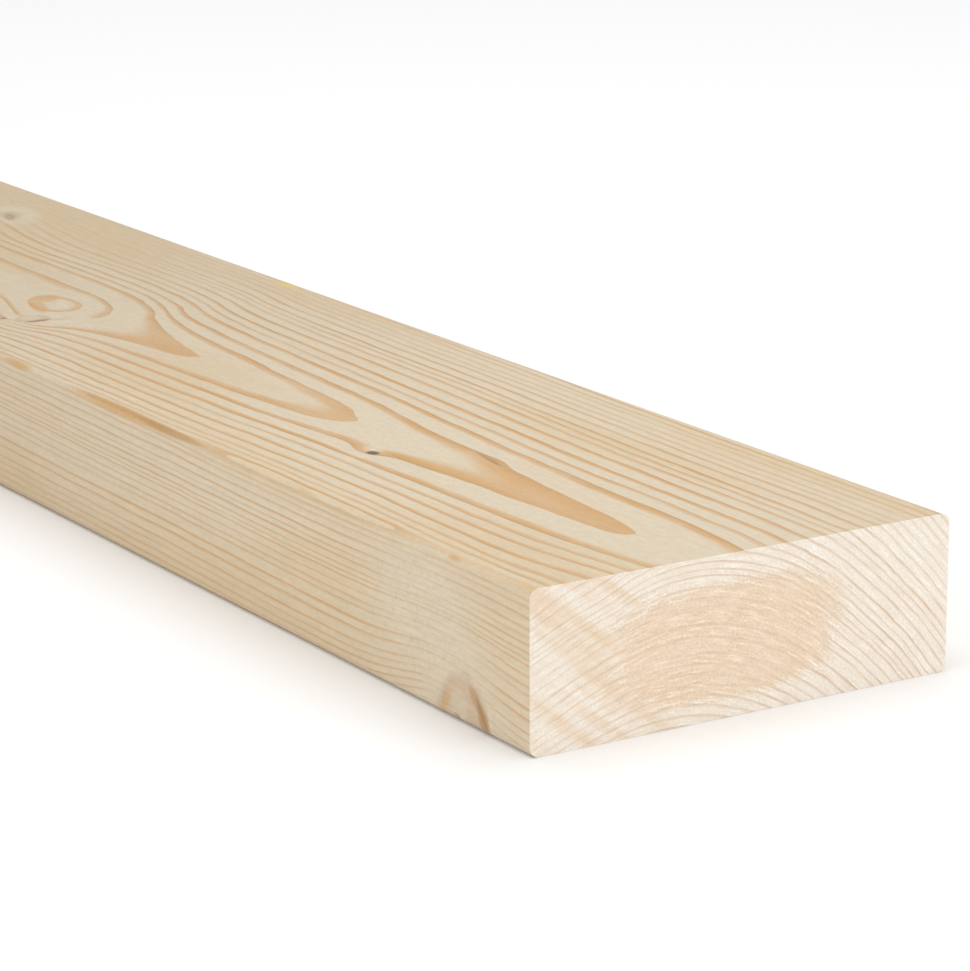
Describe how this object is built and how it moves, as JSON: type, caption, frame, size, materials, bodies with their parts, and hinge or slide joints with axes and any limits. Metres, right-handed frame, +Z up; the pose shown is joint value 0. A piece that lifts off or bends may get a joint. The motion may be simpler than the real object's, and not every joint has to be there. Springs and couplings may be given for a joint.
{
  "type": "timber lumber plank",
  "caption": "Planed softwood plank with eased long edges and square sawn ends, flat-sawn grain and a knot on its near edge.",
  "frame": {"origin": "centre of the underside, halfway along the length", "axes": "+X along the length, towards the end that faces the viewer in the picture; +Y across the width, towards the far edge; +Z up"},
  "size_m": [2.4, 0.15, 0.05],
  "materials": {
    "timber": "planed pale softwood, uncoated, matt, with end grain left from the saw"
  },
  "bodies": {
    "root": {"plank": "timber"}
  },
  "joints": []
}
